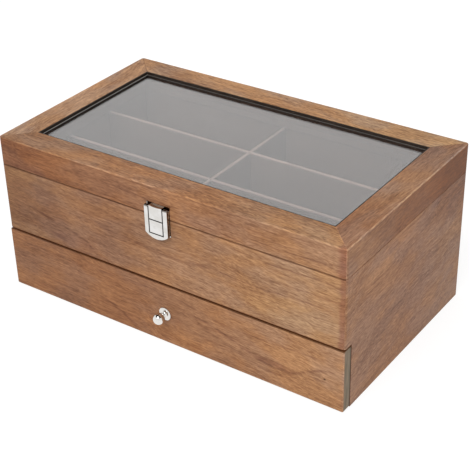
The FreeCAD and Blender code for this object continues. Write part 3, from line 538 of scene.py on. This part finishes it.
def pick(piece, kind, wanted):
    """Goes to edit mode and selects the edges or faces that pass the test, and nothing else."""
    if piece.mode != "EDIT":
        take(piece)
        bpy.ops.object.mode_set(mode="EDIT")
    bpy.ops.mesh.select_mode(type=kind)
    bpy.ops.mesh.select_all(action="DESELECT")
    shape = bmesh.from_edit_mesh(piece.data)
    for element in (shape.edges if kind == "EDGE" else shape.faces):
        if wanted(element):
            element.select_set(True)
    bmesh.update_edit_mesh(piece.data)


def spans(axis):
    """A test for edges that run along an axis."""
    number = AXES.index(axis)
    return lambda edge: abs(edge.verts[0].co[number] - edge.verts[1].co[number]) > 0.1 * MM


def unit(axis, length=1.0):
    """A vector of a length along an axis."""
    return [length if name == axis else 0.0 for name in AXES]


def lies_at(axis, level):
    """A test for edges or faces that lie wholly at a level."""
    number = AXES.index(axis)
    return lambda element: all(
        abs(corner.co[number] - level) < 0.01 * MM for corner in element.verts)


def is_sharp(edge):
    """A test for edges between two faces that meet at a clear angle."""
    return edge.is_manifold and edge.calc_face_angle() > 1.0


def slice_up(piece, axis, pitch):
    """Cuts a piece across an axis into lengths of about the pitch."""
    number = AXES.index(axis)
    corners = [corner.co[number] for corner in piece.data.vertices]
    cuts = round((max(corners) - min(corners)) / pitch) - 1
    if cuts > 0:
        pick(piece, "EDGE", spans(axis))
        bpy.ops.mesh.subdivide(number_cuts=cuts)
        bpy.ops.object.mode_set(mode="OBJECT")


def cut_at(piece, axis, level):
    """Cuts a piece in two along a plane, and keeps both sides joined."""
    pick(piece, "FACE", lambda face: True)
    bpy.ops.mesh.bisect(plane_co=unit(axis, level), plane_no=unit(axis))
    bpy.ops.object.mode_set(mode="OBJECT")


def apply_all(piece):
    """Applies all modifiers of a piece."""
    take(piece)
    for modifier in list(piece.modifiers):
        bpy.ops.object.modifier_apply(modifier=modifier.name)


def soften(piece):
    """Rounds a padded piece and makes its foam a little uneven."""
    round_off = piece.modifiers.new("round", "SUBSURF")
    round_off.levels = 2
    round_off.render_levels = 2
    foam = bpy.data.textures.new(piece.name, "CLOUDS")
    foam.noise_scale = 18 * MM
    uneven = piece.modifiers.new("uneven", "DISPLACE")
    uneven.texture = foam
    uneven.texture_coords = "LOCAL"
    uneven.strength = 0.12 * MM
    uneven.mid_level = 1.0
    apply_all(piece)
    bpy.ops.object.shade_smooth()


def cut_away(piece, name, low, high):
    """Cuts a box out of a piece."""
    cutter = block(name, low, high)
    cut = piece.modifiers.new("cut", "BOOLEAN")
    cut.operation = "DIFFERENCE"
    cut.object = cutter
    cut.solver = "EXACT"
    take(piece)
    bpy.ops.object.modifier_apply(modifier=cut.name)
    bpy.data.objects.remove(cutter)


def soften_edges(piece, width):
    """Rounds the sharp edges of a piece, and shades the rest smooth."""
    edges = piece.modifiers.new("edges", "BEVEL")
    edges.width = width
    edges.segments = 2
    edges.limit_method = "ANGLE"
    edges.angle_limit = math.radians(50)
    apply_all(piece)
    bpy.ops.object.shade_smooth_by_angle(angle=math.radians(40))


def belongs(piece, node, body, material):
    """Puts a finished piece in its node's stead."""
    piece.data.materials.clear()
    piece.data.materials.append(material)
    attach(piece, body)
    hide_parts(node)


def padded_strip(name, node, body, material, axis, side):
    """A padded strip on a wall, full in its middle. Its cloth faces one side of an axis."""
    low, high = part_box(node)
    number = AXES.index(axis)
    crown = 0.7 * MM
    cloth_side = high if side > 0 else low
    cloth_side[number] -= side * crown
    face = cloth_side[number]
    piece = block(name, low, high)
    for other in AXES:
        if other != axis:
            slice_up(piece, other, 26 * MM)
    pick(piece, "EDGE", is_sharp)
    bpy.ops.mesh.bevel(offset=1.0 * MM, segments=2, affect="EDGES")
    pick(piece, "FACE", lies_at(axis, face))
    for inset, share in ((1.6, 0.5), (5.0, 0.35), (7.0, 0.15)):
        bpy.ops.mesh.inset(thickness=inset * MM, depth=0.0)
        bpy.ops.transform.translate(value=unit(axis, side * crown * share))
    bpy.ops.object.mode_set(mode="OBJECT")
    soften(piece)
    belongs(piece, node, body, material)


def padded_floor(name, node, body, material, lines):
    """A padded floor, pressed down along the dividers and full between them."""
    low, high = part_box(node)
    crown = 0.9 * MM
    high.z -= crown
    piece = block(name, low, high)
    for level in lines:
        cut_at(piece, "Y", level)
    cut_at(piece, "X", 0.0)
    pick(piece, "EDGE", is_sharp)
    bpy.ops.mesh.bevel(offset=0.5 * MM, segments=2, affect="EDGES")
    ys = [low.y, *lines, high.y]
    for left, right in ((low.x, 0.0), (0.0, high.x)):
        for front, back in zip(ys, ys[1:]):
            def in_cell(face):
                middle = face.calc_center_median()
                return (face.normal.z > 0.99 and abs(middle.z - high.z) < 0.01 * MM
                        and left < middle.x < right and front < middle.y < back)
            pick(piece, "FACE", in_cell)
            for inset, share in ((1.8, 0.55), (4.5, 0.30), (8.0, 0.15)):
                bpy.ops.mesh.inset(thickness=inset * MM, depth=0.0)
                bpy.ops.transform.translate(value=(0, 0, crown * share))
            bpy.ops.mesh.subdivide(number_cuts=3)
    bpy.ops.object.mode_set(mode="OBJECT")
    soften(piece)
    belongs(piece, node, body, material)


def covered_divider(name, node, body, material, along, slots, from_top):
    """A thin board under velvet, slotted to half its height where it laps another."""
    low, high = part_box(node)
    piece = block(name, low, high)
    slice_up(piece, along, 40 * MM)
    at_top, lengthwise = lies_at("Z", high.z), spans(along)
    pick(piece, "EDGE", lambda edge: is_sharp(edge) and at_top(edge) and lengthwise(edge))
    bpy.ops.mesh.bevel(offset=1.25 * MM, segments=4, affect="EDGES")
    bpy.ops.object.mode_set(mode="OBJECT")
    number = AXES.index(along)
    half_slot = 1.65 * MM
    margin = Vector((5, 5, 5)) * MM
    middle = (low.z + high.z) / 2
    for place in slots:
        slot_low = low - margin
        slot_high = high + margin
        slot_low[number] = place - half_slot
        slot_high[number] = place + half_slot
        if from_top:
            slot_low.z = middle
        else:
            slot_high.z = middle
        cut_away(piece, "slot_cutter", slot_low, slot_high)
    soften_edges(piece, 0.35 * MM)
    belongs(piece, node, body, material)


def cross_head_screws(name, node, body, material, upwards):
    """Four countersunk screws with a cross recess in their heads."""
    low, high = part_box(node)
    head, shank, cone, rim = 1.8 * MM, 1.0 * MM, 0.8 * MM, 0.05 * MM
    point = 1.1 * MM
    straight = high.z - low.z - cone - 1.2 * MM
    top = low.z if upwards else high.z
    bpy.ops.object.select_all(action="DESELECT")
    bpy.ops.mesh.primitive_cylinder_add(
        vertices=32, radius=head, depth=rim, location=(0, 0, -rim / 2))
    piece = bpy.context.object
    bpy.ops.object.transform_apply(location=True, rotation=True, scale=True)
    pick(piece, "FACE", lies_at("Z", -rim))
    bpy.ops.mesh.extrude_region_move(TRANSFORM_OT_translate={"value": (0, 0, -cone)})
    bpy.ops.transform.resize(value=(shank / head, shank / head, 1))
    bpy.ops.mesh.extrude_region_move(TRANSFORM_OT_translate={"value": (0, 0, -straight)})
    bpy.ops.mesh.extrude_region_move(TRANSFORM_OT_translate={"value": (0, 0, -point)})
    bpy.ops.transform.resize(value=(0.2, 0.2, 1))
    bpy.ops.object.mode_set(mode="OBJECT")
    arm, half_slot, sunk = 1.05, 0.24, 0.6
    for x, y in ((arm, half_slot), (half_slot, arm)):
        cut_away(piece, "recess_cutter", Vector((-x, -y, -sunk)) * MM, Vector((x, y, 1)) * MM)
    soften_edges(piece, 0.05 * MM)
    middle = (low.y + high.y) / 2
    copies = []
    for hand in (-1, 1):
        for side in (-1, 1):
            copy = piece.copy()
            copy.data = piece.data.copy()
            bpy.context.scene.collection.objects.link(copy)
            turn = Matrix.Rotation(math.pi, 4, "X") if upwards else Matrix.Identity(4)
            twist = Matrix.Rotation(0.5 * hand + 0.9 * side, 4, "Z")
            place = Matrix.Translation((hand * HINGE_PLACE + side * SCREW_PLACE, middle, top))
            copy.data.transform(place @ turn @ twist)
            copies.append(copy)
    bpy.data.objects.remove(piece)
    take(copies[0])
    for copy in copies:
        copy.select_set(True)
    bpy.ops.object.join()
    copies[0].name = name
    copies[0].data.name = name
    belongs(copies[0], node, body, material)


# Setting

def studio():
    """A white floor and room, with a dark ceiling that only polished metal and glass show."""
    bpy.ops.object.select_all(action="DESELECT")
    bpy.ops.mesh.primitive_plane_add(size=9.0, location=(0, 0, 0))
    floor = bpy.context.object
    floor.name = "floor"
    floor.data.materials.append(floor_finish())
    world = bpy.data.worlds.new("studio")
    bpy.context.scene.world = world
    world.use_nodes = True
    room = Graph(world.node_tree)
    strength = room.node("ShaderNodeMapRange", values={0: room.seen_directly(), 3: 0.62, 4: 1.0})
    height = room.split(room.node("ShaderNodeTexCoord", output="Generated"))[2]
    ceiling = room.step(height, 0.60, 0.66, 1.0, 0.03)
    mirrored = room.node("ShaderNodeLightPath", output="Is Glossy Ray")
    only_mirrored = ceiling.work("POWER", ceiling, mirrored)        # 1 for every ray that isn't
    values = {"Color": WHITE, "Strength": strength * only_mirrored}
    sky = room.node("ShaderNodeBackground", values=values)
    out = room.tree.nodes.new("ShaderNodeOutputWorld")
    room.tree.links.new(sky.socket, out.inputs["Surface"])
    lamp("key", place=(0.25, -1.5, 1.9), size=1.3, power=26)


def lamp(name, place, size, power):
    """A square lamp that points at the middle of the box."""
    data = bpy.data.lights.new(name, "AREA")
    data.shape = "SQUARE"
    data.size = size
    data.energy = power
    made = bpy.data.objects.new(name, data)
    bpy.context.scene.collection.objects.link(made)
    made.location = place
    made.rotation_euler = (Vector((0, 0, 0.07)) - Vector(place)).to_track_quat("-Z", "Y").to_euler()


def floor_finish():
    """Pale paper that the camera, metal and glass see as white, and that keeps the soft shadow."""
    paper = Finish("floor_paper", {
        "Base Color": rgb(0.80, 0.80, 0.80), "Roughness": 0.9, "Specular IOR Level": 0.1})
    glow = paper.node("ShaderNodeEmission", values={"Color": WHITE, "Strength": 0.80})
    matt = paper.node("ShaderNodeBsdfDiffuse", values={"Color": rgb(0.30, 0.30, 0.30)})
    shown = paper.node("ShaderNodeAddShader", values={0: matt, 1: glow})
    paper.show_instead(paper.seen_directly(), shown)
    return paper.material


def aim_camera():
    """Puts the camera where the photograph was taken from."""
    azimuth, elevation, roll = (math.radians(angle) for angle in CAMERA_ANGLES)
    back = Vector((
        math.sin(azimuth) * math.cos(elevation),
        -math.cos(azimuth) * math.cos(elevation),
        math.sin(elevation)))
    right = Vector((math.cos(azimuth), math.sin(azimuth), 0))
    up = right.cross(-back)
    turned_right = math.cos(roll) * right + math.sin(roll) * up
    turned_up = math.cos(roll) * up - math.sin(roll) * right
    data = bpy.data.cameras.new("camera")
    data.sensor_width = CAMERA_SENSOR
    data.lens = CAMERA_LENS
    data.shift_x, data.shift_y = CAMERA_SHIFT
    camera = bpy.data.objects.new("camera", data)
    bpy.context.scene.collection.objects.link(camera)
    turn = Matrix((turned_right, turned_up, back)).transposed()
    camera.matrix_world = Matrix.Translation(CAMERA_PLACE) @ turn.to_4x4()
    bpy.context.scene.camera = camera


aim_camera()
studio()
bpy.context.scene.view_settings.view_transform = "Standard"

# The veneered boards, with levels and widths in millimetres

# Painted shade in the seam between the lid and the body
painted_seam_shade = tinted_line(123.7, 0.7, rgb(0.42, 0.35, 0.30))
# A painted highlight on the edge just below that seam
seam_highlight = tinted_line(122.0, 0.5, rgb(1.10, 1.12, 1.16), 0.8)
below_top = tinted_line(148.4, 0.7, rgb(0.88, 0.86, 0.86))
front_core = bare_inside("Y", -1, HALF_DEPTH)
back_core = bare_inside("Y", 1, HALF_DEPTH)
left_core = bare_inside("X", -1, HALF_WIDTH)
right_core = bare_inside("X", 1, HALF_WIDTH)


def painted_gap_shade(wood, position, ground):
    """Painted shade on the panel's lower edge, in the gap over the drawer front."""
    low = wood.step(position[2], PANEL_BOTTOM + 0.9 * MM, PANEL_BOTTOM + 0.2 * MM)
    return wood.mix(low, ground, STAIN_AND_SHADE)


def dark_cut_ends(wood, position, ground):
    """Dark stain on the cut ends beside the drawer front."""
    low = wood.step(position[2], PANEL_BOTTOM + 0.3 * MM, PANEL_BOTTOM - 0.1 * MM)
    return wood.mix(low * wood.step(position[1], -89.0 * MM, -89.4 * MM), ground, STAIN_AND_SHADE)


def drawer_front_edges(wood, position, ground):
    """Bare board at the drawer front's ends, dark stain on its upper, lower and rear faces, which
    also stands as painted shade in the gaps above and below it.
    """
    depth = position[1] + HALF_DEPTH
    off_face = wood.step(depth, 0.6 * MM, 0.9 * MM)
    side = abs(position[0])
    at_end = wood.step(side, HALF_WIDTH - 0.6 * MM, HALF_WIDTH - 0.2 * MM)
    grain = wood.noise(wood.stretch(wood.place, (300, 300, 60)), detail=3.0)
    board = wood.shade(rgb(0.250, 0.185, 0.120), wood.step(grain, 0.35, 0.7), rgb(0.72, 0.74, 0.72))
    pale = wood.step(abs(depth - 6.2 * MM), 1.6 * MM, 0.4 * MM)
    board = wood.shade(board, pale, rgb(1.15, 1.16, 1.18))
    # Darker towards the rear of each end: painted shade of the gap between the drawer front and the
    # side panel
    board = wood.shade(board, wood.step(depth, 8.2 * MM, 9.6 * MM), rgb(0.5, 0.42, 0.36))
    return wood.mix(off_face, ground, wood.mix(at_end, STAIN_AND_SHADE, board))


PURPLE = rgb(0.68, 0.61, 0.64)
DARK_VEIN = rgb(0.62, 0.54, 0.56)
lid_front_lines = (
    grain_line([(-172, 127), (-130, 126.5), (-85, 127.5)], 2.6, PURPLE, 0.9),
    grain_line([(10, 132.5), (50, 129), (95, 125)], 0.9, DARK_VEIN, 0.9),
    grain_line([(75, 133), (110, 131), (145, 132), (172, 131)], 0.8, DARK_VEIN, 0.8),
    grain_line([(-60, 139), (-10, 137), (60, 140), (120, 138)], 1.2, PURPLE, 0.5),
)
body_front_lines = (
    grain_line([(-150, 90), (-122, 84), (-97, 79), (-80, 73), (-70, 64)], 2.0, DARK_VEIN, 0.85, 12),
    grain_line([(-170, 80), (-135, 73), (-110, 69), (-92, 63)], 1.8, PURPLE, 0.7, 12),
    grain_line([(-70, 95), (-20, 91), (20, 90), (60, 93)], 2.0, PURPLE, 0.8),
    grain_line([(40, 92), (90, 90), (140, 92), (172, 90)], 0.9, DARK_VEIN, 0.8),
    grain_line([(60, 118), (110, 115), (150, 116), (172, 114)], 0.9, DARK_VEIN, 0.8),
    grain_line([(70, 103), (120, 101), (172, 103)], 0.8, DARK_VEIN, 0.6),
    grain_line([(90, 83), (130, 81), (172, 83)], 0.8, DARK_VEIN, 0.6),
    patch((-140, 92), (48, 34), rgb(0.86, 0.80, 0.84), 0.8),
    patch((-95, 68), (30, 12), rgb(0.80, 0.76, 0.84), 0.7),
    patch((130, 76), (60, 16), rgb(1.07, 1.10, 1.06), 0.8),
)
drawer_front_lines = (
    grain_line([(-172, 49), (-90, 47), (-20, 50), (30, 47)], 1.4, PURPLE, 0.6),
    grain_line([(10, 50), (45, 43), (85, 41), (125, 43), (172, 42)], 1.2, DARK_VEIN, 0.8),
    grain_line([(15, 39), (45, 36), (70, 29), (95, 21.5), (115, 19.5), (130, 22), (150, 32),
                (172, 36)], 1.6, DARK_VEIN, 0.9),
    grain_line([(30, 30), (60, 24), (85, 16), (110, 13), (135, 15), (160, 24)], 1.2, PURPLE, 0.5),
    grain_line([(-75, 23), (-60, 19), (-45, 12), (-25, 2)], 2.6, PURPLE, 0.9, 10),
    patch((-65, 25), (16, 7), rgb(1.10, 1.12, 1.12), 0.8),
    patch((108, 22), (22, 4), rgb(0.78, 0.70, 0.72), 0.9),
    patch((155.5, 26.3), (1.6, 1.2), rgb(0.25, 0.20, 0.20), 1.0),
)
right_side_details = (
    patch((100, 127), (85, 55), rgb(0.72, 0.62, 0.57), 1.0, axes=(1, 2)),
    patch((-29, 115), (11, 7), rgb(0.80, 0.82, 0.98), 0.7, axes=(1, 2)),
    patch((43, 119), (12, 6), rgb(0.86, 0.88, 1.02), 0.5, axes=(1, 2)),
    patch((-70, 132), (9, 8), rgb(0.92, 0.92, 0.98), 0.5, axes=(1, 2)),
)

# Each board's ground, from tone to tone along its grain
lid_fronts = [(-150, rgb(0.242, 0.095, 0.040)), (-70, rgb(0.290, 0.124, 0.055)),
              (35, rgb(0.367, 0.180, 0.092)), (148, rgb(0.408, 0.209, 0.104))]
body_fronts = [(-150, rgb(0.272, 0.138, 0.069)), (-70, rgb(0.309, 0.149, 0.076)),
               (35, rgb(0.382, 0.194, 0.096)), (145, rgb(0.422, 0.230, 0.118))]
drawer_fronts = [(-150, rgb(0.292, 0.133, 0.063)), (-35, rgb(0.310, 0.141, 0.067)),
                 (35, rgb(0.373, 0.175, 0.079)), (148, rgb(0.422, 0.220, 0.111))]
side_tones = [(-75, rgb(0.388, 0.196, 0.105)), (0, rgb(0.353, 0.174, 0.094)),
              (75, rgb(0.350, 0.187, 0.110))]
right_lid_tones = [(-75, rgb(0.347, 0.173, 0.092)), (0, rgb(0.265, 0.110, 0.049)),
                   (75, rgb(0.196, 0.064, 0.018))]
top_front = [(-140, rgb(0.283, 0.139, 0.068)), (0, rgb(0.366, 0.177, 0.085)),
             (140, rgb(0.359, 0.182, 0.084))]
top_back = [(-140, rgb(0.395, 0.212, 0.110)), (0, rgb(0.395, 0.207, 0.101)),
            (140, rgb(0.412, 0.238, 0.123))]
top_left = [(-70, rgb(0.379, 0.210, 0.116)), (0, rgb(0.471, 0.251, 0.126)),
            (70, rgb(0.420, 0.238, 0.137))]
top_right = [(-70, rgb(0.312, 0.148, 0.075)), (0, rgb(0.314, 0.164, 0.090)),
             (70, rgb(0.268, 0.138, 0.079))]

body_end = end_band(165.5, 169.0, rgb(0.74, 0.62, 0.66))
lid_end = end_band(163.0, 168.5, rgb(0.74, 0.62, 0.68))
drawer_end = end_band(170.2, 171.6, rgb(0.92, 0.92, 1.0))
# Painted shade in the seam between lid and body on the right side, fainter
painted_side_seam_shade = tinted_line(124.0, 0.5, rgb(0.84, 0.82, 0.82))
dark_mitre = mitre_line(-1, 1, rgb(0.70, 0.66, 0.63))
faint_mitre = mitre_line(-1, -1, rgb(0.72, 0.70, 0.70))
light_mitre = mitre_line(1, -1, rgb(1.25, 1.28, 1.32))
far_mitre = mitre_line(1, 1, rgb(0.80, 0.77, 0.75))
# Tint of the painted highlight on the lid's rounded outer edges
EDGE_HIGHLIGHT = rgb(1.2, 1.25, 1.3)
# Tint of the painted highlight on the shaded inner edge round the window
WINDOW_EDGE_HIGHLIGHT = rgb(1.30, 1.28, 1.26)

paint("upper_front_panel", walnut(
    "veneer_upper_front", "X", body_fronts, seed=0.3,
    details=(*body_front_lines, body_end, painted_seam_shade, seam_highlight, front_core, painted_gap_shade)))
paint("lid_front_rail", walnut(
    "veneer_lid_front", "X", lid_fronts, seed=0.5, top=top_front,
    details=(
        *lid_front_lines, lid_end, painted_seam_shade, below_top,
        painted_edge_highlight("Y", -1, HALF_DEPTH, rgb(1.25, 1.32, 1.42)), faint_mitre, light_mitre,
        tinted_line(-76.3, 0.6, WINDOW_EDGE_HIGHLIGHT, axis="Y"),
        bare_inside("Y", -1, HALF_DEPTH, lid=True))))
paint("drawer_front", walnut(
    "veneer_drawer_front", "X", drawer_fronts, seed=1.3,
    # the line at 58.6 mm is painted shade in the seam under the upper front panel
    details=(*drawer_front_lines, drawer_end, tinted_line(58.6, 0.6, rgb(0.35, 0.28, 0.20)),
             drawer_front_edges)))
paint("lid_back_rail", walnut(
    "veneer_lid_back", "X", body_fronts, seed=2.1, top=top_back,
    details=(
        painted_seam_shade, below_top, painted_edge_highlight("Y", 1, HALF_DEPTH, EDGE_HIGHLIGHT), dark_mitre, far_mitre,
        bare_inside("Y", 1, HALF_DEPTH, lid=True))))
paint("back_panel", walnut(
    "veneer_back", "X", body_fronts, seed=2.9, details=(painted_seam_shade, back_core)))
paint("left_side_panel", walnut(
    "veneer_left_side", "Y", side_tones, seed=3.7, details=(painted_seam_shade, left_core, dark_cut_ends)))
paint("right_side_panel", walnut(
    "veneer_right_side", "Y", side_tones, seed=4.1, sway=26, slope=-0.12,
    details=(*right_side_details, painted_side_seam_shade, right_core, dark_cut_ends)))
paint("lid_left_rail", walnut(
    "veneer_lid_left", "Y", side_tones, seed=5.3, top=top_left, on_top_figure=1.2,
    details=(
        painted_seam_shade, below_top, painted_edge_highlight("X", -1, HALF_WIDTH, EDGE_HIGHLIGHT), dark_mitre, faint_mitre,
        bare_inside("X", -1, HALF_WIDTH, lid=True))))
paint("lid_right_rail", walnut(
    "veneer_lid_right", "Y", right_lid_tones, seed=6.1, top=top_right, sway=22, slope=-0.08,
    figure=0.9, on_top_figure=1.35,
    details=(
        painted_side_seam_shade, painted_edge_highlight("X", 1, HALF_WIDTH, rgb(1.58, 1.90, 2.25)), light_mitre, far_mitre,
        tinted_line(148.8, 0.6, WINDOW_EDGE_HIGHLIGHT, axis="X"),
        bare_inside("X", 1, HALF_WIDTH, lid=True))))

board = pressed_board()
for name in ("base_board", "tray_floor_board", "drawer_back", "drawer_bottom", "drawer_inner_front",
             "drawer_left_side", "drawer_right_side"):
    paint(name, board)

# Metal, rubber and glass

latch_chrome = polished("latch_chrome", rgb(0.74, 0.73, 0.715), roughness=0.05, smear=0.05,
                        detail=latch_shade_and_reflection)
knob_chrome = polished("knob_chrome", rgb(0.78, 0.765, 0.74), roughness=0.04, smear=0.04)
steel = polished("nickelled_steel", rgb(0.66, 0.63, 0.58), roughness=0.22, smear=0.10)
for name in nodes:
    if name.startswith("latch"):
        paint(name, latch_chrome)
    if "hinge" in name or name == "knob_screw":
        paint(name, steel)
paint("drawer_knob", knob_chrome)
paint("window_gasket", gasket_rubber())
paint("glass_pane", window_glass())
cross_head_screws("hinge_body_crosshead_screws", "hinge_body_screws", "case", steel, upwards=False)
cross_head_screws("hinge_lid_crosshead_screws", "hinge_lid_screws", "lid", steel, upwards=True)

# Linings and dividers

LINING_TONE, DIVIDER_TONE = rgb(0.090, 0.060, 0.048), rgb(0.088, 0.060, 0.048)
INWARDS = {"front": ("Y", 1), "back": ("Y", -1), "left": ("X", 1), "right": ("X", -1)}
lining = velvet("lining_velvet", LINING_TONE)
for space, body, lines, pale_from in (
        ("tray", "case", TRAY_DIVIDERS, TRAY_DIVIDER_PALE),
        ("drawer", "drawer", DRAWER_DIVIDERS, DRAWER_DIVIDER_PALE)):
    padded_floor(f"{space}_floor_padding", f"{space}_floor_lining", body,
                 lining, lines)
    for place, (axis, side) in INWARDS.items():
        padded_strip(f"{space}_{place}_padding", f"{space}_{place}_lining", body,
                     lining, axis, side)
    covering = velvet(f"{space}_divider_velvet", DIVIDER_TONE, pale_from)
    for place in ("front", "back"):
        covered_divider(f"{space}_{place}_covered_divider", f"{space}_{place}_divider", body,
                        covering, "X", (0.0,), from_top=True)
    covered_divider(f"{space}_cross_covered_divider", f"{space}_cross_divider", body,
                    covering, "Y", lines, from_top=False)
for place, (axis, side) in INWARDS.items():
    padded_strip(f"lid_{place}_padding", f"lid_{place}_liner", "lid",
                 lining, axis, side)
